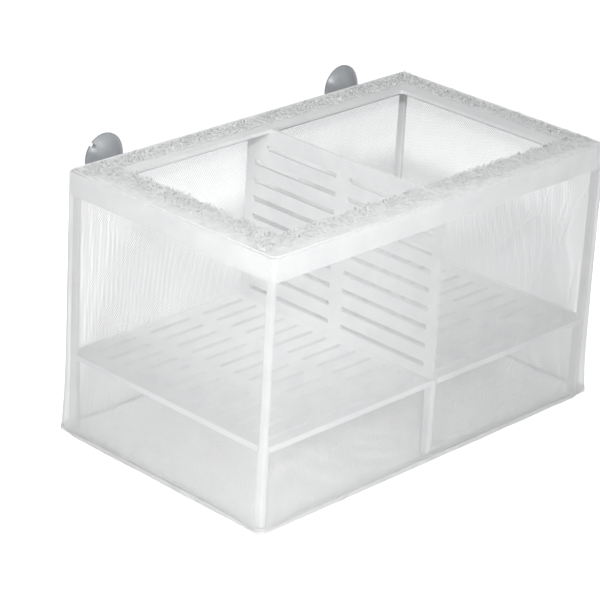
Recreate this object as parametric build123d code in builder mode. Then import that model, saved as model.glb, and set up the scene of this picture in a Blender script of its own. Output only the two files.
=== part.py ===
"""Fish breeding box: a white plastic frame with a slotted floor, a lift-out divider,
two suction cups and a fine net bag drawn over the outside.

Millimetres. +X runs along the long side, +Y points to the back, where the suction
cups face the tank glass, and +Z is up. The origin is the middle of the bag's
underside, so the box stands on Z = 0.
"""
import os

from build123d import *

# Frame, outside the plastic
frame_length = 255.0
frame_width = 150.0
frame_height = 147.0       # from the feet of the posts to the top of the rim
bag_sag = 7.0              # how far the bag's bottom hangs below the posts

# Top rim: a flat flange with a skirt round its outer edge
skirt_height = 12.5
skirt_wall = 1.2
flange_thickness = 2.0
short_rail_width = 23.0
long_rail_width = 20.0
rim_inner_radius = 1.0     # inside the skirt's corners
opening_radius = 2.0
rim_edge_radius = 0.5
socket_wall = 1.2
socket_depth = 10.0        # how far a post goes into the rim, below the flange

# Corner posts and mid legs
post_x = 3.0
post_y = 4.8
post_edge_radius = 1.2
post_shoulder = 0.8        # the lower part is this much wider, and carries the floor
post_fit = 0.1             # clearance round a post

# Slotted floor, two plates that meet under the divider
floor_drop = 105.5         # from the top of the rim to the underside of the floor
floor_thickness = 2.2
floor_inset = 1.0          # inside the frame's outer faces
floor_joint = 0.3          # gap between the two plates
lip_width = 1.2
lip_height = 1.0
floor_columns = 3
floor_rows = 13
floor_slot_width = 3.0
floor_rib = 10.0           # between two slots in a row
floor_inner_margin = 5.7
floor_outer_margin = 10.7
floor_side_margin = 7.0
slot_corner_radius = 0.5

# Divider, which slides out upwards through a slot in each long rail
divider_thickness = 2.0
divider_end_inset = 3.0    # inside the frame's outer faces
divider_gap = 0.3          # all round, in the rim and the net hem
divider_rest_gap = 0.1     # above the floor
divider_rows = 9
divider_slot_height = 3.0
divider_bar = 9.0          # solid bar down the middle
divider_side_strip = 6.0
divider_top_margin = 10.0
divider_bottom_margin = 5.4
top_row_shortening = 8.6

# Suction cups
cup_end_inset = 37.0       # from the frame's ends to the cups' axes
cup_drop = 5.0             # from the top of the rim to the cups' axis
cup_neck_radius = 1.9
cup_gap = 0.3              # round the neck and at both of its shoulders
cup_head_radius = 2.7
cup_head_length = 2.6
cup_head_chamfer = 0.7
cup_stem_radius = 3.6
cup_stem_length = 5.0
cup_bell_length = 9.1
cup_waist_radius = 9.4     # of the bell, part of the way along it
cup_waist_length = 4.0
cup_radius = 13.0
cup_lip_width = 1.2
cup_lip_thickness = 1.0
cup_hollow_depth = 3.4
cup_notch_width = 2.0      # in the lip, where a fingernail lifts it
cup_notch_depth = 1.6
cup_notch_radius = 0.4
cup_left_turn = 137.0      # of the notch, anticlockwise from +X seen from the front
cup_right_turn = 265.0

# Net bag
net_thickness = 0.5
net_gap = 0.1              # off the plastic
net_strand = 1.7           # of the plain grid of slots that stands for the fine mesh
net_rows = 25              # slots too low for fry to pass
net_long_columns = 6
net_short_columns = 4
bag_corner_radius = 3.0
bag_bottom_radius = 6.0
seam_height = 2.0
seam_thickness = 0.4
hem_thickness = 1.2
far_hem_width = 14.0       # on the back and right rails, which stay partly bare
elastic_diameter = 1.2
elastic_inset = 0.8        # from the frame's outer faces to the elastic's centre
elastic_bend = 3.0         # radius at the rim's corners
hem_clearance = 0.1        # between the hem and its elastic

# Heights
post_foot = bag_sag
rim_top = post_foot + frame_height
flange_underside = rim_top - flange_thickness
skirt_bottom = rim_top - skirt_height
floor_bottom = rim_top - floor_drop
floor_top = floor_bottom + floor_thickness
divider_bottom = floor_top + divider_rest_gap
cup_height = rim_top - cup_drop
hem_top = rim_top + hem_thickness

# Plan
half_length = frame_length / 2
half_width = frame_width / 2
inside_x = half_length - skirt_wall
inside_y = half_width - skirt_wall
cup_spacing = frame_length - 2 * cup_end_inset
opening_length = frame_length - 2 * short_rail_width
opening_width = frame_width - 2 * long_rail_width
rim_outer_radius = rim_inner_radius + skirt_wall
post_centre_x = inside_x - post_fit - post_x / 2
post_centre_y = inside_y - post_fit - post_y / 2
plate_outer = half_length - floor_inset
plate_inner = floor_joint / 2
plate_length = plate_outer - plate_inner
plate_width = frame_width - 2 * floor_inset
divider_width = frame_width - 2 * divider_end_inset
slot_opening = divider_thickness + 2 * divider_gap
slot_reach = divider_width + 2 * divider_gap
net_inner_x = half_length + net_gap
net_inner_y = half_width + net_gap
net_outer_x = net_inner_x + net_thickness
net_outer_y = net_inner_y + net_thickness

os.makedirs("parts", exist_ok=True)


def save(builder, name):
    """Label a finished piece and write its STEP file."""
    builder.part.label = name
    export_step(builder.part, f"parts/{name}.step")


# Top rim, one moulding
with BuildPart() as top_rim:
    with BuildSketch(Plane.XY.offset(flange_underside)):
        RectangleRounded(frame_length, frame_width, rim_outer_radius)
    extrude(amount=flange_thickness)
    with BuildSketch(Plane.XY.offset(skirt_bottom)):
        RectangleRounded(frame_length, frame_width, rim_outer_radius)
        RectangleRounded(2 * inside_x, 2 * inside_y, rim_inner_radius, mode=Mode.SUBTRACT)
    extrude(amount=skirt_height)
    fillet(top_rim.faces().sort_by(Axis.Z)[-1].outer_wire().edges(), rim_edge_radius)
    # Sockets that hold the tops of the corner posts
    with BuildSketch(Plane.XY.offset(flange_underside - socket_depth)):
        with GridLocations(2 * post_centre_x, 2 * post_centre_y, 2, 2):
            Rectangle(post_x + 2 * post_fit + 2 * socket_wall, post_y + 2 * post_fit + 2 * socket_wall)
        RectangleRounded(2 * inside_x, 2 * inside_y, rim_inner_radius, mode=Mode.INTERSECT)
        with GridLocations(2 * post_centre_x, 2 * post_centre_y, 2, 2):
            Rectangle(post_x + 2 * post_fit, post_y + 2 * post_fit, mode=Mode.SUBTRACT)
    extrude(amount=socket_depth)
    # Opening, and the divider's slot across both long rails
    with BuildSketch(Plane.XY.offset(flange_underside)):
        RectangleRounded(opening_length, opening_width, opening_radius)
        Rectangle(slot_opening, slot_reach)
    extrude(amount=flange_thickness, mode=Mode.SUBTRACT)
    # Holes in the back skirt for the suction cups
    with BuildSketch(Plane((0, half_width, cup_height), x_dir=(1, 0, 0), z_dir=(0, -1, 0))):
        with GridLocations(cup_spacing, 0, 2, 1):
            Circle(cup_neck_radius + cup_gap)
    extrude(amount=skirt_wall, mode=Mode.SUBTRACT)
save(top_rim, "top_rim")


# Corner posts: a slim part above the floor, a stouter one below that carries it
for name, side, end in (
    ("corner_post_front_left", -1, -1),
    ("corner_post_front_right", 1, -1),
    ("corner_post_back_left", -1, 1),
    ("corner_post_back_right", 1, 1),
):
    with BuildPart() as corner_post:
        with BuildSketch(Plane.XY.offset(floor_bottom)):
            with Locations((side * post_centre_x, end * post_centre_y)):
                RectangleRounded(post_x, post_y, post_edge_radius)
        extrude(amount=flange_underside - floor_bottom)
        with BuildSketch(Plane.XY.offset(post_foot)):
            with Locations((side * (post_centre_x - post_shoulder / 2), end * (post_centre_y - post_shoulder / 2))):
                RectangleRounded(post_x + post_shoulder, post_y + post_shoulder, post_edge_radius)
        extrude(amount=floor_bottom - post_foot)
    save(corner_post, name)


# Mid legs: they stand under the joint between the plates, and their pegs lock it
for name, end in (("mid_leg_front", -1), ("mid_leg_back", 1)):
    with BuildPart() as mid_leg:
        with BuildSketch(Plane.XY.offset(post_foot)):
            with Locations((0, end * (post_centre_y - post_shoulder / 2))):
                RectangleRounded(post_x + post_shoulder, post_y + post_shoulder, post_edge_radius)
        extrude(amount=floor_bottom - post_foot)
        with BuildSketch(Plane.XY.offset(floor_bottom)):
            with Locations((0, end * post_centre_y)):
                RectangleRounded(post_x, post_y, post_edge_radius)
        extrude(amount=floor_thickness)
    save(mid_leg, name)


# Floor plates
floor_slot_length = plate_length - floor_inner_margin - floor_outer_margin
floor_slot_length = (floor_slot_length - (floor_columns - 1) * floor_rib) / floor_columns
floor_column_pitch = floor_slot_length + floor_rib
floor_row_pitch = (plate_width - 2 * floor_side_margin - floor_slot_width) / (floor_rows - 1)
floor_pattern_x = plate_inner + floor_inner_margin + floor_slot_length / 2
floor_pattern_x = floor_pattern_x + floor_column_pitch * (floor_columns - 1) / 2

for name, side in (("floor_left", -1), ("floor_right", 1)):
    with BuildPart() as floor_plate:
        with BuildSketch(Plane.XY.offset(floor_bottom)):
            with Locations((side * (plate_inner + plate_length / 2), 0)):
                Rectangle(plate_length, plate_width)
        extrude(amount=floor_thickness + lip_height)
        # The lip runs round the three outer edges, and the edge under the divider is flush
        with BuildSketch(Plane.XY.offset(floor_top)):
            with Locations((side * (plate_inner + (plate_length - lip_width) / 2), 0)):
                Rectangle(plate_length - lip_width, plate_width - 2 * lip_width)
        extrude(amount=lip_height, mode=Mode.SUBTRACT)
        # Notches that let the corner posts and the legs' pegs through
        with BuildSketch(Plane.XY.offset(floor_bottom)):
            for end in (-1, 1):
                with Locations((0, end * (post_centre_y + floor_inset))):
                    Rectangle(post_x + 2 * post_fit, post_y + 2 * post_fit + 2 * floor_inset)
                with Locations((side * (post_centre_x + floor_inset), end * (post_centre_y + floor_inset))):
                    Rectangle(post_x + 2 * post_fit + 2 * floor_inset, post_y + 2 * post_fit + 2 * floor_inset)
        extrude(amount=floor_thickness + lip_height, mode=Mode.SUBTRACT)
        with BuildSketch(Plane.XY.offset(floor_bottom)):
            with Locations((side * floor_pattern_x, 0)):
                with GridLocations(floor_column_pitch, floor_row_pitch, floor_columns, floor_rows):
                    RectangleRounded(floor_slot_length, floor_slot_width, slot_corner_radius)
        extrude(amount=floor_thickness, mode=Mode.SUBTRACT)
    save(floor_plate, name)


# Divider: two columns of slots beside a solid middle bar
divider_height = rim_top - divider_bottom
divider_slot_length = divider_width / 2 - divider_side_strip - divider_bar / 2
divider_row_pitch = divider_height - divider_top_margin - divider_bottom_margin - divider_slot_height
divider_row_pitch = divider_row_pitch / (divider_rows - 1)

with BuildPart() as divider:
    with BuildSketch(Plane.YZ.offset(-divider_thickness / 2)):
        with Locations((0, divider_bottom + divider_height / 2)):
            Rectangle(divider_width, divider_height)
        for row in range(divider_rows):
            length = divider_slot_length
            if row == 0:
                length = divider_slot_length - top_row_shortening
            height = rim_top - divider_top_margin - divider_slot_height / 2 - row * divider_row_pitch
            with Locations(
                (divider_bar / 2 + length / 2, height),
                (-divider_bar / 2 - length / 2, height),
            ):
                RectangleRounded(length, divider_slot_height, slot_corner_radius, mode=Mode.SUBTRACT)
    extrude(amount=divider_thickness)
save(divider, "divider")


# Suction cups: a head inside the skirt, a neck through it and a bell behind it
cup_head_y = inside_y - cup_gap
cup_shoulder_y = net_outer_y + cup_gap
cup_bell_y = cup_shoulder_y + cup_stem_length
cup_lip_y = cup_bell_y + cup_bell_length

for name, side, turn in (
    ("suction_cup_left", -1, cup_left_turn),
    ("suction_cup_right", 1, cup_right_turn),
):
    cup_x = side * cup_spacing / 2
    with BuildPart() as suction_cup:
        with BuildSketch(Plane((cup_x, 0, cup_height), x_dir=(1, 0, 0), z_dir=(0, 0, 1))):
            with BuildLine():
                outside = Polyline(
                    (0, cup_head_y - cup_head_length),
                    (cup_head_radius - cup_head_chamfer, cup_head_y - cup_head_length),
                    (cup_head_radius, cup_head_y - cup_head_length + cup_head_chamfer),
                    (cup_head_radius, cup_head_y),
                    (cup_neck_radius, cup_head_y),
                    (cup_neck_radius, cup_shoulder_y),
                    (cup_stem_radius, cup_shoulder_y),
                    (cup_stem_radius, cup_bell_y),
                )
                bell = ThreePointArc(
                    outside @ 1,
                    (cup_waist_radius, cup_bell_y + cup_waist_length),
                    (cup_radius, cup_lip_y - cup_lip_thickness),
                )
                lip = Polyline(
                    bell @ 1,
                    (cup_radius, cup_lip_y),
                    (cup_radius - cup_lip_width, cup_lip_y),
                )
                hollow = TangentArc((0, cup_lip_y - cup_hollow_depth), lip @ 1, tangent=(1, 0))
                Line(hollow @ 0, outside @ 0)
            make_face()
        revolve(axis=Axis((cup_x, 0, cup_height), (0, 1, 0)))
        # Notch in the lip
        with BuildSketch(Plane((cup_x, cup_lip_y, cup_height), x_dir=(1, 0, 0), z_dir=(0, -1, 0))):
            with PolarLocations(cup_radius, 1, start_angle=turn):
                RectangleRounded(2 * cup_notch_depth, cup_notch_width, cup_notch_radius)
        extrude(amount=cup_bell_length, mode=Mode.SUBTRACT)
    save(suction_cup, name)


# Net bag walls, outside the frame, open as a plain grid of slots between the seam and the skirt
wall_height = hem_top - post_foot
wall_middle = post_foot + wall_height / 2
mesh_bottom = post_foot + seam_height
mesh_row_pitch = (skirt_bottom - mesh_bottom - net_strand) / net_rows
mesh_rise = (skirt_bottom + mesh_bottom) / 2 - wall_middle


def slotted_face(width, columns):
    """The face of one net wall, made at once with its slots."""
    pitch = (width - net_strand) / columns
    slots = []
    for place in GridLocations(pitch, mesh_row_pitch, columns, net_rows):
        slot = Wire.make_rect(pitch - net_strand, mesh_row_pitch - net_strand)
        slots.append(Pos(0, mesh_rise) * place * slot)
    return Face(Wire.make_rect(width, wall_height), slots)


long_face = slotted_face(2 * net_inner_x, net_long_columns)
for name, face_y in (("net_front", -net_inner_y), ("net_back", net_outer_y)):
    with BuildPart() as net_wall:
        with BuildSketch(Plane((0, face_y, wall_middle), x_dir=(1, 0, 0), z_dir=(0, -1, 0))):
            add(long_face)
        extrude(amount=net_thickness)
        if face_y > 0:
            # The cups' necks pass between the threads
            with BuildSketch(Plane((0, face_y, cup_height), x_dir=(1, 0, 0), z_dir=(0, -1, 0))):
                with GridLocations(cup_spacing, 0, 2, 1):
                    Circle(cup_neck_radius + cup_gap)
            extrude(amount=net_thickness, mode=Mode.SUBTRACT)
    save(net_wall, name)

short_face = slotted_face(2 * net_outer_y, net_short_columns)
for name, face_x in (("net_left", -net_outer_x), ("net_right", net_inner_x)):
    with BuildPart() as net_end:
        with BuildSketch(Plane((face_x, 0, wall_middle), x_dir=(0, 1, 0), z_dir=(1, 0, 0))):
            add(short_face)
        extrude(amount=net_thickness)
    save(net_end, name)


# Net bottom, a shallow tray that hangs below the posts
with BuildPart() as net_bottom:
    with BuildSketch(Plane.XY):
        RectangleRounded(2 * net_outer_x, 2 * net_outer_y, bag_corner_radius)
    extrude(amount=bag_sag)
    fillet(net_bottom.faces().sort_by(Axis.Z)[0].edges(), min(bag_bottom_radius, bag_sag - net_thickness))
    offset(amount=-net_thickness, openings=net_bottom.faces().sort_by(Axis.Z)[-1])
save(net_bottom, "net_bottom")

# The seam that joins the walls to the bottom
with BuildPart() as bottom_seam:
    with BuildSketch(Plane.XY.offset(post_foot)):
        RectangleRounded(
            2 * (net_outer_x + seam_thickness),
            2 * (net_outer_y + seam_thickness),
            seam_thickness,
        )
        Rectangle(2 * net_outer_x, 2 * net_outer_y, mode=Mode.SUBTRACT)
    extrude(amount=seam_height)
save(bottom_seam, "bottom_seam")


# Net hem, gathered on top of the rim; it lies open over the divider's slots
hem_reach_x = half_length - elastic_inset - elastic_diameter / 2 - hem_clearance
hem_reach_y = half_width - elastic_inset - elastic_diameter / 2 - hem_clearance
near_edge_y = -opening_width / 2
far_edge_y = half_width - far_hem_width
far_edge_x = half_length - far_hem_width

hem_corner_radius = elastic_bend - elastic_diameter / 2 - hem_clearance

for name, low_y, high_y, outer in (
    ("hem_front", -hem_reach_y, near_edge_y, 0),
    ("hem_back", far_edge_y, hem_reach_y, -1),
):
    with BuildPart() as long_hem:
        with BuildSketch(Plane.XY.offset(rim_top)) as hem_outline:
            with Locations((0, (low_y + high_y) / 2)):
                Rectangle(2 * hem_reach_x, high_y - low_y)
            fillet(hem_outline.vertices().group_by(Axis.Y)[outer], hem_corner_radius)
            Rectangle(slot_opening, slot_reach, mode=Mode.SUBTRACT)
        extrude(amount=hem_thickness)
    save(long_hem, name)

for name, low_x, high_x in (
    ("hem_left", -hem_reach_x, -opening_length / 2),
    ("hem_right", far_edge_x, hem_reach_x),
):
    with BuildPart() as short_hem:
        with BuildSketch(Plane.XY.offset(rim_top)):
            with Locations(((low_x + high_x) / 2, (near_edge_y + far_edge_y) / 2)):
                Rectangle(high_x - low_x, far_edge_y - near_edge_y)
        extrude(amount=hem_thickness)
    save(short_hem, name)

# Elastic cord in the hem, a closed loop round the top of the rim
elastic_x = half_length - elastic_inset
elastic_y = half_width - elastic_inset
with BuildPart() as elastic_cord:
    with BuildLine(Plane.XY.offset(rim_top + elastic_diameter / 2)):
        loop = FilletPolyline(
            (-elastic_x, -elastic_y),
            (elastic_x, -elastic_y),
            (elastic_x, elastic_y),
            (-elastic_x, elastic_y),
            radius=elastic_bend,
            close=True,
        )
    with BuildSketch(Plane(origin=loop @ 0, z_dir=loop % 0)):
        Circle(elastic_diameter / 2)
    sweep()
save(elastic_cord, "elastic_cord")
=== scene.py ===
"""Looks of the net breeding box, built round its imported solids.

The net bag is real thread geometry: diagonal threads laid over a curved surface, one
surface for each wall, the bottom and each hem. Everything is in metres, in the part's
own frame: +X along the long side, +Y to the cups, +Z up.
"""
import math

import bpy
import numpy as np
from mathutils import Matrix, Vector


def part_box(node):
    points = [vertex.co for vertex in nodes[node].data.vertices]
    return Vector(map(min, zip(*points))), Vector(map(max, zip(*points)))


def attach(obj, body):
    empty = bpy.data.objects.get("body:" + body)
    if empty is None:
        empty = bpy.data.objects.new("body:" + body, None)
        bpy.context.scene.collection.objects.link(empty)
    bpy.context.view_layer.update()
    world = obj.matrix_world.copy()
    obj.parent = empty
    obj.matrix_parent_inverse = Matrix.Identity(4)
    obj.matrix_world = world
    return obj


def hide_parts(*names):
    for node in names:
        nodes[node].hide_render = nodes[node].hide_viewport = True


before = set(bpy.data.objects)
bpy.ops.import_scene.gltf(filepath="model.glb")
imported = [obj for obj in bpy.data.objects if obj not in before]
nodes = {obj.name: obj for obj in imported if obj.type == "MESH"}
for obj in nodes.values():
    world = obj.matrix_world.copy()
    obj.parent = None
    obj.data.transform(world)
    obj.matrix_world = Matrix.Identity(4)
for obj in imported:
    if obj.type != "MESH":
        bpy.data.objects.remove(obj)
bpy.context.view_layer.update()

MM = 0.001

# Places read from the solids
rim_low, rim_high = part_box("top_rim")
RIM_TOP = rim_high.z
SKIRT_BOTTOM = rim_low.z
HALF_LENGTH = rim_high.x
HALF_WIDTH = rim_high.y
SEAM_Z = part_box("bottom_seam")[0].z
DIVIDER_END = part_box("divider")[1].y

# Net
NET_GAP = 0.45 * MM          # from the plastic to the middle of the threads
MESH = 1.04 * MM             # between parallel threads, which makes holes 1.2 mm apart
LEAN = math.radians(30)      # of the threads, from upright
THREAD_WIDTH = 0.29 * MM
THREAD_THICK = 0.26 * MM
NUDGE = 0.05 * MM            # step on the flat cloth that its surface's normals are taken over
CORNER_RADIUS = 2.5 * MM
COARSE = 1.0   # how much coarser threads are cut while trying things


def smooth(t):
    """0 below 0, 1 above 1 and a soft step between."""
    t = np.clip(t, 0, 1)
    return t * t * (3 - 2 * t)


RIPPLE_WAVES = 7
RIPPLE_SPREAD = 0.35         # of the waves' lengths, either way
RIPPLE_SHARE = 2.6           # what the sum of the waves is divided by, to be about one high


def ripple(a, b, wavelength, seed):
    """Irregular waves over a flat cloth, about one high either way."""
    rng = np.random.default_rng(seed)
    total = np.zeros(np.shape(a))
    for _ in range(RIPPLE_WAVES):
        turn = rng.uniform(0, 2 * math.pi)
        number = 2 * math.pi / (wavelength * rng.uniform(1 - RIPPLE_SPREAD, 1 + RIPPLE_SPREAD))
        phase = rng.uniform(0, 2 * math.pi)
        total = total + np.sin(number * (a * math.cos(turn) + b * math.sin(turn)) + phase)
    return total / RIPPLE_SHARE


# ---------------------------------------------------------------- threads over a surface

def clipped_lines(low, high, lean):
    """Start and end of each thread of one family over the rectangle from low to high."""
    along = np.array([math.sin(lean), math.cos(lean)])
    across = np.array([math.cos(lean), -math.sin(lean)])
    corners = np.array([(a, b) for a in (low[0], high[0]) for b in (low[1], high[1])])
    offsets = corners @ across / MESH
    numbers = np.arange(math.ceil(offsets.min()), math.floor(offsets.max()) + 1)
    base = numbers[:, None] * MESH * across
    enter = np.full(len(numbers), -np.inf)
    leave = np.full(len(numbers), np.inf)
    for axis in (0, 1):
        one = (low[axis] - base[:, axis]) / along[axis]
        two = (high[axis] - base[:, axis]) / along[axis]
        enter = np.maximum(enter, np.minimum(one, two))
        leave = np.minimum(leave, np.maximum(one, two))
    crossing = leave - enter > MESH
    base, enter, leave = base[crossing], enter[crossing], leave[crossing]
    return base + enter[:, None] * along, base + leave[:, None] * along


def thread_paths(low, high, step):
    """Points along all threads of both families, and the first and last number of each thread."""
    paths, runs = [], []
    start = 0
    for lean in (LEAN, -LEAN):
        starts, ends = clipped_lines(low, high, lean)
        for one, two in zip(starts, ends):
            count = max(2, int(np.linalg.norm(two - one) / step) + 1)
            paths.append(one + np.linspace(0, 1, count)[:, None] * (two - one))
            runs.append((start, start + count))
            start += count
    return np.concatenate(paths), runs


def kept_points(points, tolerance):
    """Numbers of the points that a polyline needs to stay within the tolerance."""
    keep = {0, len(points) - 1}
    waiting = [(0, len(points) - 1)]
    while waiting:
        first, last = waiting.pop()
        if last - first < 2:
            continue
        chord = points[last] - points[first]
        inner = points[first + 1:last] - points[first]
        share = np.clip(inner @ chord / max(chord @ chord, 1e-12), 0, 1)
        off = inner - share[:, None] * chord
        gap = np.einsum("ij,ij->i", off, off)
        worst = int(gap.argmax())
        if gap[worst] > tolerance * tolerance:
            middle = worst + first + 1
            keep.add(middle)
            waiting += [(first, middle), (middle, last)]
    return sorted(keep)


def thinned(points, runs, free, tolerance):
    """Numbers of the points worth keeping where the threads run free, and their new runs."""
    kept, kept_runs = [], []
    for first, last in runs:
        breaks = np.flatnonzero(np.diff(free[first:last].astype(int))) + 1
        for stretch in np.split(np.arange(first, last), breaks):
            if len(stretch) < 2 or not free[stretch[0]]:
                continue
            chosen = stretch[kept_points(points[stretch], tolerance)]
            kept_runs.append((len(kept), len(kept) + len(chosen)))
            kept.extend(chosen)
    return np.array(kept), kept_runs


def unit(vectors):
    """Each row at length 1."""
    return vectors / np.maximum(np.linalg.norm(vectors, axis=1), 1e-15)[:, None]


def diamonds(centre, side, up, width, thick):
    """The four corners of the thread's section at each of its points."""
    wide, high = side * width / 2, up * thick / 2
    return np.stack([centre + wide, centre + high, centre - wide, centre - high], axis=1)


def side_quads(ring, following):
    """The four faces from each section to the following one, both by their first corner's number."""
    return [
        np.hstack([ring + corner, ring + after, following + after, following + corner])
        for corner, after in ((0, 1), (1, 2), (2, 3), (3, 0))
    ]


def thread_mesh(low, high, place, step, tolerance, width=THREAD_WIDTH, clear=None):
    """Vertices and quads of a net over the flat rectangle low to high, laid where place puts it."""
    flat, runs = thread_paths(low, high, step)
    a, b = flat[:, 0], flat[:, 1]
    points = place(a, b)
    normals = unit(np.cross(place(a + NUDGE, b) - points, place(a, b + NUDGE) - points))
    free = np.ones(len(points), bool) if clear is None else clear(points)
    kept, runs = thinned(points, runs, free, tolerance)
    centre, up = points[kept], normals[kept]
    tangent = np.zeros_like(centre)
    quads = []
    for first, last in runs:
        tangent[first:last] = np.gradient(centre[first:last], axis=0)
        ring = np.arange(first, last - 1)[:, None] * 4
        quads += side_quads(ring, ring + 4)
        quads.append(np.array([[first * 4 + 3, first * 4 + 2, first * 4 + 1, first * 4]]))
        quads.append(np.array([[last * 4 - 4, last * 4 - 3, last * 4 - 2, last * 4 - 1]]))
    verts = diamonds(centre, unit(np.cross(tangent, up)), up, width, THREAD_THICK)
    return verts.reshape(-1, 3), np.concatenate(quads)


def joined(parts):
    """Several (vertices, quads) as one."""
    verts, quads, start = [], [], 0
    for points, faces in parts:
        verts.append(points)
        quads.append(faces + start)
        start += len(points)
    return np.concatenate(verts), np.concatenate(quads)


def mesh_object(name, verts, quads, material, slot, replaced):
    """A smooth-shaded object of quads in place of one of the frame's nodes."""
    mesh = bpy.data.meshes.new(name)
    mesh.vertices.add(len(verts))
    mesh.vertices.foreach_set("co", np.asarray(verts, np.float32).ravel())
    mesh.loops.add(len(quads) * 4)
    mesh.loops.foreach_set("vertex_index", np.asarray(quads, np.int32).ravel())
    mesh.polygons.add(len(quads))
    mesh.polygons.foreach_set("loop_start", np.arange(0, len(quads) * 4, 4, dtype=np.int32))
    mesh.polygons.foreach_set("use_smooth", np.ones(len(quads), bool))
    mesh.update(calc_edges=True)
    mesh.validate()
    piece = bpy.data.objects.new(name, mesh)
    bpy.context.scene.collection.objects.link(piece)
    mesh.materials.append(material)
    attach(piece, "frame")
    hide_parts(replaced)
    return piece


# ---------------------------------------------------------------- materials

def grey(level):
    """A neutral colour."""
    return (level, level, level)


def shader(name, colour, roughness, **sockets):
    """A material with a Principled shader, and its node tree."""
    material = bpy.data.materials.new(name)
    material.use_nodes = True
    tree = material.node_tree
    principled = tree.nodes["Principled BSDF"]
    principled.inputs["Base Color"].default_value = (*colour, 1)
    principled.inputs["Roughness"].default_value = roughness
    for socket, value in sockets.items():
        principled.inputs[socket.replace("_", " ")].default_value = value
    return material, tree, principled


def noise(tree, scale, detail):
    """Noise in the part's own frame, with scale in waves per metre."""
    place = tree.nodes.new("ShaderNodeTexCoord")
    texture = tree.nodes.new("ShaderNodeTexNoise")
    texture.inputs["Scale"].default_value = scale
    texture.inputs["Detail"].default_value = detail
    tree.links.new(place.outputs["Object"], texture.inputs["Vector"])
    return texture.outputs["Fac"]


NOISE_LOW, NOISE_HIGH = 0.35, 0.65   # most of the noise lies between these
COLOUR_DETAIL = 3.0


def tinted(tree, principled, dark, light, fac):
    """Colour between dark and light, as fac says."""
    ramp = tree.nodes.new("ShaderNodeValToRGB")
    ramp.color_ramp.elements[0].position = NOISE_LOW
    ramp.color_ramp.elements[0].color = (*dark, 1)
    ramp.color_ramp.elements[1].position = NOISE_HIGH
    ramp.color_ramp.elements[1].color = (*light, 1)
    tree.links.new(fac, ramp.inputs["Fac"])
    tree.links.new(ramp.outputs["Color"], principled.inputs["Base Color"])


def bumped(tree, principled, fac, depth):
    """Relief of a given depth."""
    bump = tree.nodes.new("ShaderNodeBump")
    bump.inputs["Strength"].default_value = 1.0
    bump.inputs["Distance"].default_value = depth
    tree.links.new(fac, bump.inputs["Height"])
    tree.links.new(bump.outputs["Normal"], principled.inputs["Normal"])


def mottled(name, colour, roughness, dark, light, mottling, grain, depth, grain_detail=1.0, **sockets):
    """A material that wanders from dark to light and has a grain; mottling and grain in waves per metre."""
    material, tree, principled = shader(name, colour, roughness, **sockets)
    tinted(tree, principled, dark, light, noise(tree, mottling, COLOUR_DETAIL))
    bumped(tree, principled, noise(tree, grain, grain_detail), depth)
    return material


def translucent(weight, depth):
    """Sockets of a white that lets light in as far as a depth."""
    return {"Subsurface_Weight": weight, "Subsurface_Radius": (1, 1, 1), "Subsurface_Scale": depth}


def moulded_plastic(name, light):
    """White polystyrene, faintly translucent, with slight mottling and a satin grain."""
    dark = (light * 0.94, light * 0.945, light * 0.95)
    return mottled(
        name, grey(light), 0.42, dark, grey(light), 60, 900, 0.05 * MM, grain_detail=3.0,
        **translucent(0.2, 1.5 * MM),
    )


frame_white = moulded_plastic("frame_white", 0.92)
floor_white = moulded_plastic("floor_white", 0.9)
divider_white = moulded_plastic("divider_white", 0.93)
net_white = mottled(
    "net_white", grey(0.9), 0.55, (0.9, 0.905, 0.91), grey(0.97), 70, 6000, 0.03 * MM,
    **translucent(0.6, 0.4 * MM),
)
hem_white = mottled("hem_white", grey(0.86), 0.5, (0.86, 0.87, 0.87), grey(0.96), 220, 6000, 0.03 * MM)
seam_white = mottled("seam_white", grey(0.86), 0.6, grey(0.84), grey(0.95), 400, 5000, 0.05 * MM)
elastic_white = mottled("elastic_white", grey(0.86), 0.7, grey(0.78), grey(0.88), 900, 3500, 0.1 * MM)
cup_grey = mottled(
    "cup_grey", (0.37, 0.39, 0.41), 0.3, (0.36, 0.38, 0.4), (0.42, 0.44, 0.455), 120, 800, 0.04 * MM,
    grain_detail=3.0, Transmission_Weight=0.15, IOR=1.45,
)

FRAME_PIECES = (
    "top_rim", "corner_post_front_left", "corner_post_front_right", "corner_post_back_left",
    "corner_post_back_right", "mid_leg_front", "mid_leg_back",
)
for material, pieces in (
    (frame_white, FRAME_PIECES),
    (floor_white, ("floor_left", "floor_right")),
    (divider_white, ("divider",)),
    (cup_grey, ("suction_cup_left", "suction_cup_right")),
    (elastic_white, ("elastic_cord",)),
):
    for piece in pieces:
        nodes[piece].data.materials.clear()
        nodes[piece].data.materials.append(material)


# ---------------------------------------------------------------- net walls, one strip round the box

PLAN_X = HALF_LENGTH + NET_GAP
PLAN_Y = HALF_WIDTH + NET_GAP
ARC = CORNER_RADIUS * math.pi / 2
ARC_STEPS = 8
FRONT_RUN = 2 * (PLAN_X - CORNER_RADIUS)
SIDE_RUN = 2 * (PLAN_Y - CORNER_RADIUS)
ROUND = 2 * FRONT_RUN + 2 * SIDE_RUN + 4 * ARC


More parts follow.
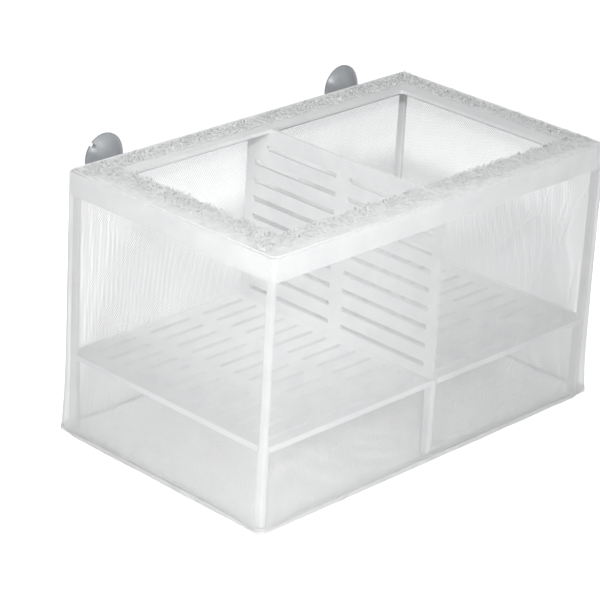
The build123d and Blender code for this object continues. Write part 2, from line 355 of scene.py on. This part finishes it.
def plan_table():
    """Distance along the strip, and there the place and the outward direction, all round."""
    rows = []
    distance = -FRONT_RUN / 2
    # Each wall's outward direction in degrees, its run and the corner it starts from
    for turn, run, x, y in (
        (-90, FRONT_RUN, -1, -1),
        (0, SIDE_RUN, 1, -1),
        (90, FRONT_RUN, 1, 1),
        (180, SIDE_RUN, -1, 1),
        (270, FRONT_RUN, -1, -1),
    ):
        out = np.array([math.cos(math.radians(turn)), math.sin(math.radians(turn))])
        ahead = np.array([-out[1], out[0]])
        centre = np.array([x * (PLAN_X - CORNER_RADIUS), y * (PLAN_Y - CORNER_RADIUS)])
        rows.append((distance, *(centre + CORNER_RADIUS * out), *out))
        distance += run
        corner = centre + run * ahead
        for step in range(ARC_STEPS + 1):
            angle = math.radians(turn + 90 * step / ARC_STEPS)
            out = np.array([math.cos(angle), math.sin(angle)])
            rows.append((distance + ARC * step / ARC_STEPS + 1e-9, *(corner + CORNER_RADIUS * out), *out))
        distance += ARC
    return np.array(rows).T


PLAN = plan_table()


def round_the_box(s):
    """Place and outward direction at a distance along the strip; 0 is the middle of the front."""
    s = (s + FRONT_RUN / 2) % ROUND - FRONT_RUN / 2
    x, y, out_x, out_y = (np.interp(s, PLAN[0], row) for row in PLAN[1:])
    return x, y, out_x, out_y


def either_way(s):
    """A distance along the strip, counted the shorter way round from 0."""
    return (s + ROUND / 2) % ROUND - ROUND / 2


# Creases pulled into the right half of the front: (x, z) along each in millimetres, and its strength
CREASES = (
    (((80, 140), (74, 129), (64, 126), (54, 122), (42, 118), (30, 114), (24, 110)), 1.5),
    (((115, 135), (106, 125), (100, 119), (94, 107), (92, 96)), 1.3),
    (((112, 88), (109, 80), (103, 69), (101, 58)), 1.2),
    (((66, 134), (58, 127), (52, 120)), 0.8),
    (((88, 100), (78, 93), (73, 88)), 0.8),
    (((82, 98), (75, 91), (70, 78)), 0.7),
    (((39, 140), (31, 136), (22, 133)), 0.6),
    (((98, 132), (90, 116), (84, 104)), 0.6),
    (((60, 110), (52, 99), (47, 88)), 0.5),
    (((118, 122), (117, 104), (114, 92)), 0.7),
)
CREASE_WIDTH = 0.9 * MM      # half the width of the raised fold
CREASE_REACH = 2.3 * MM      # how far from it the net is drawn in
CREASE_DRAW = 0.85           # share of that distance that a strong crease takes up
NO_CREASE = 1.0              # a place far from every crease, for the other walls


def crease_field(x, z):
    """How much a crease lifts each point, and how far it draws the point towards itself."""
    lift = np.zeros(x.shape)
    pull_x = np.zeros(x.shape)
    pull_z = np.zeros(x.shape)
    for line, strength in CREASES:
        line = np.array(line) * MM
        nearest = np.full(x.shape, 1.0)
        to_x = np.zeros(x.shape)
        to_z = np.zeros(x.shape)
        fade = np.zeros(x.shape)
        lengths = np.linalg.norm(np.diff(line, axis=0), axis=1)
        total, gone = lengths.sum(), 0.0
        for one, two, length in zip(line[:-1], line[1:], lengths):
            run_x, run_z = two - one
            t = np.clip(((x - one[0]) * run_x + (z - one[1]) * run_z) / length**2, 0, 1)
            off_x = one[0] + t * run_x - x
            off_z = one[1] + t * run_z - z
            gap = np.hypot(off_x, off_z)
            closer = gap < nearest
            nearest = np.where(closer, gap, nearest)
            to_x = np.where(closer, off_x, to_x)
            to_z = np.where(closer, off_z, to_z)
            fade = np.where(closer, (gone + t * length) / total, fade)
            gone += length
        # Creases run out softly at both ends, and weak ones draw the net in less
        ends = np.sin(math.pi * np.clip(fade, 0.02, 0.98)) ** 0.6
        lift += strength * MM * ends * np.exp(-((nearest / CREASE_WIDTH) ** 2))
        grip = CREASE_DRAW * ends * min(1, 0.4 + 0.6 * strength)
        draw = grip * np.exp(-((nearest / CREASE_REACH) ** 2))
        pull_x += draw * to_x
        pull_z += draw * to_z
    return lift, pull_x, pull_z


WALL_HEIGHT = RIM_TOP - SEAM_Z
FREE_HEIGHT = SKIRT_BOTTOM - SEAM_Z   # of the walls below the rim
OVER_EDGE = 0.6 * MM         # the walls go this far on over the top of the rim
RISE_OVER_EDGE = 0.35 * MM   # and lie this far above it
WANDER_ALONG = 0.16 * MM     # how far the threads wander off their lines, sideways and up
WANDER_UP = 0.14 * MM
BILLOW, HOLLOW = 0.35, 0.25  # of the free net, in millimetres: it waves by one and lies in by the other
PLEAT = 0.16 * MM            # upright waves that rise from the gathered bottom seam
PLEAT_HEIGHT = 70 * MM
CORNERS_AT = (FRONT_RUN / 2 + ARC / 2, FRONT_RUN / 2 + SIDE_RUN + 1.5 * ARC)
CORNER_BULGE = 1.8 * MM      # how far the gathered bottom seam stands out at the box's corners
CORNER_BULGE_WIDTH = 16 * MM
CORNER_BULGE_HEIGHT = 28 * MM


def wall_place(s, b):
    """Where the strip's point (s, b) is; b is the height above the bottom seam."""
    # The net is held still along the seam and the rim, and waves in between
    wobble = smooth(b / (12 * MM)) * smooth((FREE_HEIGHT - b) / (6 * MM))
    s_drawn = s + WANDER_ALONG * ripple(s, b * 0.4, 34 * MM, 11) * wobble
    b_drawn = b + WANDER_UP * ripple(s, b, 36 * MM, 12) * wobble
    on_front = np.abs(either_way(s)) < FRONT_RUN / 2
    lift, pull_s, pull_b = crease_field(np.where(on_front, either_way(s), NO_CREASE), b + SEAM_Z)
    s_drawn = s_drawn + pull_s
    b_drawn = b_drawn + pull_b
    x, y, out_x, out_y = round_the_box(s_drawn)
    free = smooth(b / (20 * MM)) * smooth((FREE_HEIGHT - b) / (25 * MM))
    out = (BILLOW * ripple(s, b * 0.35, 60 * MM, 13) - HOLLOW) * MM * free
    out = out + PLEAT * ripple(s, b * 0.12, 13 * MM, 14) * smooth(1 - b / PLEAT_HEIGHT)
    for corner in CORNERS_AT:
        away = np.minimum(np.abs(either_way(s - corner)), np.abs(either_way(s + corner)))
        bulge = CORNER_BULGE * np.exp(-((away / CORNER_BULGE_WIDTH) ** 2))
        out = out + bulge * np.exp(-b / CORNER_BULGE_HEIGHT)
    out = out + lift - np.maximum(0, b - WALL_HEIGHT)
    height = np.minimum(b_drawn, WALL_HEIGHT + RISE_OVER_EDGE)
    return np.stack([x + out * out_x, y + out * out_y, SEAM_Z + height], axis=-1)


WALLS = (
    ("net_front", -FRONT_RUN / 2 - ARC / 2, FRONT_RUN + ARC),
    ("net_right", FRONT_RUN / 2 + ARC / 2, SIDE_RUN + ARC),
    ("net_back", FRONT_RUN / 2 + SIDE_RUN + 1.5 * ARC, FRONT_RUN + ARC),
    ("net_left", -FRONT_RUN / 2 - SIDE_RUN - 1.5 * ARC, SIDE_RUN + ARC),
)
WALL_STEP = 0.8 * MM         # between points along a thread before they are thinned out
WALL_TOLERANCE = 0.07 * MM
CUP_HOLE = 3.0 * MM          # free of threads round each cup's neck
cup_centres = []
for node in ("suction_cup_left", "suction_cup_right"):
    low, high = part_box(node)
    cup_centres.append(((low.x + high.x) / 2, (low.z + high.z) / 2))


def off_the_necks(points):
    """False for points in the holes that the cups' necks go through."""
    free = np.ones(len(points), bool)
    for x, z in cup_centres:
        near = np.hypot(points[:, 0] - x, points[:, 2] - z) < CUP_HOLE
        free &= ~(near & (points[:, 1] > 0))
    return free


for name, start, length in WALLS:
    verts, quads = thread_mesh(
        (start, 0), (start + length, WALL_HEIGHT + OVER_EDGE), wall_place,
        WALL_STEP, WALL_TOLERANCE * COARSE, clear=off_the_necks,
    )
    wall = mesh_object(name + "_tulle", verts, quads, net_white, "net", name)


# ---------------------------------------------------------------- net bottom, hanging below the posts

PAST_WALLS = 0.4 * MM        # how far the bottom's turned-up edge stands out past the walls
BEHIND_SEAM = 0.6 * MM       # and how far it rises behind the seam
BAG_X = PLAN_X + PAST_WALLS
BAG_Y = PLAN_Y + PAST_WALLS
BAG_DEPTH = SEAM_Z + BEHIND_SEAM
BAG_FLOOR = 0.2 * MM         # lowest middle of the threads
GATHERED = 14 * MM           # width of the gathered strip along the bottom's edge
GATHER_SHIFT = 0.45 * MM     # how far its threads are pushed aside, and how far it folds
GATHER_FOLD = 0.5 * MM
SAG = 0.25 * MM              # mean rise of the rest above its lowest place
TURN_UP = BAG_DEPTH * math.pi / 2
FLAT_X = BAG_X - BAG_DEPTH   # half the part that doesn't turn up
FLAT_Y = BAG_Y - BAG_DEPTH
BOTTOM_LENGTH = 2 * (FLAT_X + TURN_UP)
BOTTOM_WIDTH = 2 * (FLAT_Y + TURN_UP)
BOTTOM_STEP = 0.7 * MM
BOTTOM_TOLERANCE = 0.11 * MM


def turned_up(t, flat_half, outer):
    """Place along one axis and rise of a cloth that turns up in a quarter circle at its two edges."""
    past = np.clip(np.abs(t) - flat_half, 0, TURN_UP)
    angle = past / BAG_DEPTH
    place = np.where(past > 0, outer - BAG_DEPTH + BAG_DEPTH * np.sin(angle), np.abs(t))
    return np.sign(t) * place, 1 - np.cos(angle)


def bottom_place(a, b):
    """Where the bottom's flat point (a, b) is."""
    edge = np.minimum(FLAT_X + TURN_UP - np.abs(a), FLAT_Y + TURN_UP - np.abs(b))
    gather = smooth(1 - edge / GATHERED)
    a_drawn = a + GATHER_SHIFT * gather * ripple(a, b, 6 * MM, 21)
    b_drawn = b + GATHER_SHIFT * gather * ripple(a, b, 6 * MM, 22)
    x, rise_x = turned_up(a_drawn, FLAT_X, BAG_X)
    y, rise_y = turned_up(b_drawn, FLAT_Y, BAG_Y)
    rise = 1 - (1 - rise_x) * (1 - rise_y)
    fold = GATHER_FOLD * gather * ripple(a, b, 7 * MM, 23)
    sag = SAG * (1 + ripple(a, b, 50 * MM, 24)) * (1 - gather)
    z = BAG_FLOOR + np.maximum(sag, 0) + rise * (BAG_DEPTH - BAG_FLOOR)
    return np.stack([x + fold * rise_x * np.sign(a), y + fold * rise_y * np.sign(b), z], axis=-1)


verts, quads = thread_mesh(
    (-BOTTOM_LENGTH / 2, -BOTTOM_WIDTH / 2), (BOTTOM_LENGTH / 2, BOTTOM_WIDTH / 2), bottom_place,
    BOTTOM_STEP, BOTTOM_TOLERANCE * COARSE,
)
bottom = mesh_object("net_bottom_tulle", verts, quads, net_white, "net", "net_bottom")


# ---------------------------------------------------------------- bottom seam

STITCH = 1.6 * MM            # pitch of the overlocked stitches
STITCH_THICK = 0.34 * MM
SEAM_HEIGHT = 1.5 * MM
SEAM_LOW = SEAM_Z - 0.4 * MM
SEAM_FOLLOWS = 0.3 * MM      # height on the wall whose waves the seam follows
SEAM_LIES_OUT = 0.35 * MM    # from the middle of the net's threads
# Height of the seam's two edge threads, and how much thicker they are than its stitches
EDGE_THREADS = ((SEAM_Z - 0.5 * MM, 1.4), (SEAM_Z - 0.3 * MM + SEAM_HEIGHT, 1.2))


def seam_mesh():
    """A zigzag of thread over the joint between the walls and the bottom, all round."""
    count = int(ROUND / (STITCH / 2))
    s = np.arange(count + 1) * ROUND / count
    out_x, out_y = round_the_box(s)[2:]
    out = np.stack([out_x, out_y, np.zeros(count + 1)], axis=-1)
    zigzag = wall_place(s, np.full(count + 1, SEAM_FOLLOWS)) + out * SEAM_LIES_OUT
    zigzag[:, 2] = SEAM_LOW + np.where(np.arange(count + 1) % 2 == 0, 0.0, SEAM_HEIGHT)
    lines = [(zigzag, STITCH_THICK)]
    for height, thicker in EDGE_THREADS:
        lines.append((zigzag * (1, 1, 0) + (0, 0, height), STITCH_THICK * thicker))
    parts = []
    for line, thick in lines:
        ahead = np.roll(line, -1, axis=0) - line
        rings = diamonds(line, unit(np.cross(ahead, out)), out, thick, thick)[:-1]
        number = np.arange(len(rings))[:, None] * 4
        following = (number + 4) % (len(rings) * 4)
        parts.append((rings.reshape(-1, 3), np.concatenate(side_quads(number, following))))
    return joined(parts)


verts, quads = seam_mesh()
seam = mesh_object("bottom_seam_stitches", verts, quads, seam_white, "seam_thread", "bottom_seam")


# ---------------------------------------------------------------- hems, crumpled on top of the rim

HEM_THREAD_WIDTH = 0.33 * MM
GATHER_ALONG = 1.3           # length of flat net for each length of rail
GATHER_ACROSS = 1.35
SLIT = 1.5 * MM              # half the open slit over each of the divider's slots
SLIT_MARGIN = 0.3 * MM       # and how far it goes on past the divider's end
DROP = 1.6 * MM              # how far a near hem hangs over the rim's inner edge
WRAP = 1.0 * MM              # how far every hem wraps down over the rim's outer edge
TAUT = 2 * MM                # flat strip along the rim's outer edge
NEAR_ROUGH = 0.6             # share of the rail's width beyond which a near or far hem is fully crumpled
FAR_ROUGH = 0.3
CRUMPLE = 1.15 * MM          # height of the crumples, and how far they push the net about
SHIFT_ALONG = 0.7 * MM
SHIFT_ACROSS = 0.6 * MM
FREE_EDGE = 2.5 * MM         # strip along the free edge where the crumpling lessens, down to a share
FREE_EDGE_SHARE = 0.35
CALM = 7 * MM                # distance from the divider's slots within which the long hems lie calmer
HEM_LIFT = 0.45 * MM         # from the rim to the middle of the threads where the hem lies flat
HEM_UNEVEN = 0.12 * MM       # and how much that varies
COARSE_WAVE, FINE_WAVE = 5.5 * MM, 2.8 * MM   # lengths of the crumples' waves
SHIFT_WAVE, LIFT_WAVE = 4.5 * MM, 9 * MM
DROP_SLOPE = 1.2             # how steeply the hem falls past the inner edge, and how far it goes on
DROP_ON = 0.3
WRAP_BEND = 0.8 * MM         # how soon it stands clear of the rim's outer edge
HEM_STEP = 0.55 * MM
HEM_TOLERANCE = 0.12 * MM


def hem_piece(name, outward, near, seed, splits=()):
    """A crumpled hem on one rail, whose outer edge faces outward. Splits are the edges of an open slit."""
    low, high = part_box(name)
    lengthwise = 0 if outward[1] else 1
    far_side = sum(outward) > 0
    length = high[lengthwise] - low[lengthwise]
    outer_edge = (HALF_WIDTH if outward[1] else HALF_LENGTH) * (1 if far_side else -1)
    width = abs(outer_edge - (low if far_side else high)[1 - lengthwise])
    inward = -1 if far_side else 1
    over = DROP if near else 0.0
    rough_from = width * (NEAR_ROUGH if near else FAR_ROUGH)
    flat_length, flat_width = length * GATHER_ALONG, (width + over + WRAP) * GATHER_ACROSS

    def place_from(start, left_of_slit):
        """The surface of the stretch of hem that begins at start."""
        def place(a, b):
            along = start + a / GATHER_ALONG
            across = b / GATHER_ACROSS - WRAP
            # Taut over the outer edge of the rail, and crumpled towards its inner edge
            wild = smooth((across - TAUT) / (rough_from - TAUT))
            inner = smooth((width + over - across) / FREE_EDGE)
            wild = wild * (FREE_EDGE_SHARE + (1 - FREE_EDGE_SHARE) * inner)
            calm = smooth(np.abs(along) / CALM) if lengthwise == 0 else 1.0
            # Two sizes of crumple, whose hollows are cut off where they would reach the rim
            wave = ripple(a, b, COARSE_WAVE, seed) + 0.5 * ripple(a, b, FINE_WAVE, seed + 1)
            height = HEM_LIFT + HEM_UNEVEN * ripple(a, b, LIFT_WAVE, seed + 4)
            height = height + wild * calm * CRUMPLE * np.maximum(wave + 0.4, -0.25)
            along = along + SHIFT_ALONG * wild * calm * ripple(a, b, SHIFT_WAVE, seed + 2)
            across = across + SHIFT_ACROSS * wild * ripple(a, b, SHIFT_WAVE, seed + 3)
            past = np.maximum(0, across - width)
            before = np.maximum(0, -across)
            z = RIM_TOP + height - past * DROP_SLOPE - before
            where = np.clip(across, 0, width) + DROP_ON * past - HEM_LIFT * smooth(before / WRAP_BEND)
            where = outer_edge + inward * where
            if lengthwise == 1:
                return np.stack([where, along, z], axis=-1)
            limit = np.where(np.abs(where) < DIVIDER_END + SLIT_MARGIN, SLIT, 0.0)
            along = np.minimum(along, -limit) if left_of_slit else np.maximum(along, limit)
            return np.stack([along, where, z], axis=-1)
        return place

    edges = [low[lengthwise], *splits, high[lengthwise]]
    stretches = [
        thread_mesh(
            (0, 0), ((two - one) * GATHER_ALONG, flat_width), place_from(one, one == low[lengthwise]),
            HEM_STEP, HEM_TOLERANCE * COARSE, width=HEM_THREAD_WIDTH,
        )
        for one, two in zip(edges[0::2], edges[1::2])
    ]
    piece = mesh_object(name + "_gathered", *joined(stretches), hem_white, "net_hem", name)


hem_piece("hem_front", (0, -1), True, 31, (-SLIT, SLIT))
hem_piece("hem_back", (0, 1), False, 41, (-SLIT, SLIT))
hem_piece("hem_left", (-1, 0), True, 51)
hem_piece("hem_right", (1, 0), False, 61)


# ---------------------------------------------------------------- ground and room light

GROUND_SIZE = 6.0
GROUND_Z = -0.2 * MM
GROUND_LIGHT = 0.9           # colour of the ground for the light that it sends on
GROUND_SHOWN = 0.74          # a quarter of the paleness it is seen with, which keeps its shadows


def seen_rays(tree):
    """1 for rays that show the background: the camera's, and those off gloss or through clear plastic."""
    kind = tree.nodes.new("ShaderNodeLightPath")
    seen = kind.outputs["Is Camera Ray"]
    for other in (kind.outputs["Is Glossy Ray"], kind.outputs["Is Transmission Ray"]):
        either = tree.nodes.new("ShaderNodeMath")
        either.operation = "MAXIMUM"
        tree.links.new(seen, either.inputs[0])
        tree.links.new(other, either.inputs[1])
        seen = either.outputs[0]
    return seen


def lit_or_shown(tree, output, lit, shown):
    """End a node tree in one shader for the light it sends on and another for how it is seen."""
    choice = tree.nodes.new("ShaderNodeMixShader")
    tree.links.new(seen_rays(tree), choice.inputs["Fac"])
    tree.links.new(lit.outputs[0], choice.inputs[1])
    tree.links.new(shown.outputs[0], choice.inputs[2])
    surface = tree.nodes.new(output)
    tree.links.new(choice.outputs[0], surface.inputs["Surface"])


def doubled(tree, one):
    """A shader twice as strong as another."""
    both = tree.nodes.new("ShaderNodeAddShader")
    tree.links.new(one.outputs[0], both.inputs[0])
    tree.links.new(one.outputs[0], both.inputs[1])
    return both


def plain_shader(tree, kind, colour):
    """A shader node of a colour."""
    node = tree.nodes.new(kind)
    node.inputs["Color"].default_value = (*colour, 1)
    return node


bpy.ops.mesh.primitive_plane_add(size=GROUND_SIZE, location=(0, 0, GROUND_Z))
ground = bpy.context.object
ground.name = "studio_floor"
ground_look = bpy.data.materials.new("studio_floor_white")
ground_look.use_nodes = True
tree = ground_look.node_tree
tree.nodes.clear()
plain = plain_shader(tree, "ShaderNodeBsdfDiffuse", grey(GROUND_LIGHT))
faint = plain_shader(tree, "ShaderNodeBsdfDiffuse", grey(GROUND_SHOWN))
lit_or_shown(tree, "ShaderNodeOutputMaterial", plain, doubled(tree, doubled(tree, faint)))
ground.data.materials.append(ground_look)

# The room's soft light comes mostly from before and above the box, and little from behind it
ROOM_FACES = (-0.6, -0.56, 0.57)
ROOM_LEVELS = {"From Min": -0.2, "From Max": 1.0, "To Min": 0.1, "To Max": 0.3}

world = bpy.data.worlds.new("studio")
bpy.context.scene.world = world
world.use_nodes = True
tree = world.node_tree
tree.nodes.clear()
room = plain_shader(tree, "ShaderNodeBackground", (0.97, 0.985, 1))
place = tree.nodes.new("ShaderNodeTexCoord")
facing = tree.nodes.new("ShaderNodeVectorMath")
facing.operation = "DOT_PRODUCT"
facing.inputs[1].default_value = ROOM_FACES
tree.links.new(place.outputs["Generated"], facing.inputs[0])
spread = tree.nodes.new("ShaderNodeMapRange")
for socket, value in ROOM_LEVELS.items():
    spread.inputs[socket].default_value = value
tree.links.new(facing.outputs["Value"], spread.inputs["Value"])
tree.links.new(spread.outputs[0], room.inputs["Strength"])
backdrop = plain_shader(tree, "ShaderNodeBackground", (1, 1, 1))
lit_or_shown(tree, "ShaderNodeOutputWorld", room, backdrop)


# ---------------------------------------------------------------- lamps

LAMPS_FACE = Vector((-0.08, -0.03, 0.08))   # at half height, in the left half of the box


def soft_sun(name, azimuth, elevation, level, softness):
    """A broad distant lamp; azimuth turns from the front towards the left, in degrees."""
    lamp = bpy.data.lights.new(name, "SUN")
    lamp.energy = level * math.pi
    lamp.angle = math.radians(softness)
    holder = bpy.data.objects.new(name, lamp)
    bpy.context.scene.collection.objects.link(holder)
    turn, rise = math.radians(azimuth), math.radians(elevation)
    to_lamp = Vector((-math.sin(turn) * math.cos(rise), -math.cos(turn) * math.cos(rise), math.sin(rise)))
    holder.location = to_lamp * 2
    holder.rotation_euler = to_lamp.to_track_quat("Z", "Y").to_euler()


def soft_box(name, place, watts, size):
    """A square soft lamp that faces the box."""
    lamp = bpy.data.lights.new(name, "AREA")
    lamp.energy = watts
    lamp.size = size
    holder = bpy.data.objects.new(name, lamp)
    bpy.context.scene.collection.objects.link(holder)
    holder.location = place
    holder.rotation_euler = (LAMPS_FACE - Vector(place)).to_track_quat("-Z", "Y").to_euler()


soft_sun("key", 48, 29, 0.33, 4)
soft_box("near_low", (-0.36, -0.33, 0.12), 0.68, 0.2)
soft_box("above", (-0.16, -0.12, 0.45), 0.66, 0.2)


# ---------------------------------------------------------------- camera, fitted to the photograph

IMAGE_WIDTH = 600            # pixels
FOCAL_PIXELS = 2631.4        # focal length, in pixels of that image
SENSOR = 36                  # millimetres
CAMERA_PLACE = (-0.9624, -0.8790, 0.6468)
AZIMUTH, ELEVATION, ROLL = math.radians(-46.731), math.radians(23.858), math.radians(3.211)

back = Vector((
    math.sin(AZIMUTH) * math.cos(ELEVATION), -math.cos(AZIMUTH) * math.cos(ELEVATION), math.sin(ELEVATION),
))
level = Vector((math.cos(AZIMUTH), math.sin(AZIMUTH), 0))
above = back.cross(level)
right = math.cos(ROLL) * level + math.sin(ROLL) * above
up = -math.sin(ROLL) * level + math.cos(ROLL) * above
lens = bpy.data.cameras.new("photo_camera")
lens.sensor_width = SENSOR
lens.lens = FOCAL_PIXELS * SENSOR / IMAGE_WIDTH
lens.clip_start, lens.clip_end = 0.05, 20
camera = bpy.data.objects.new("photo_camera", lens)
bpy.context.scene.collection.objects.link(camera)
camera.matrix_world = Matrix.Translation(CAMERA_PLACE) @ Matrix((right, up, back)).transposed().to_4x4()
bpy.context.scene.camera = camera
bpy.context.scene.view_settings.view_transform = "Standard"
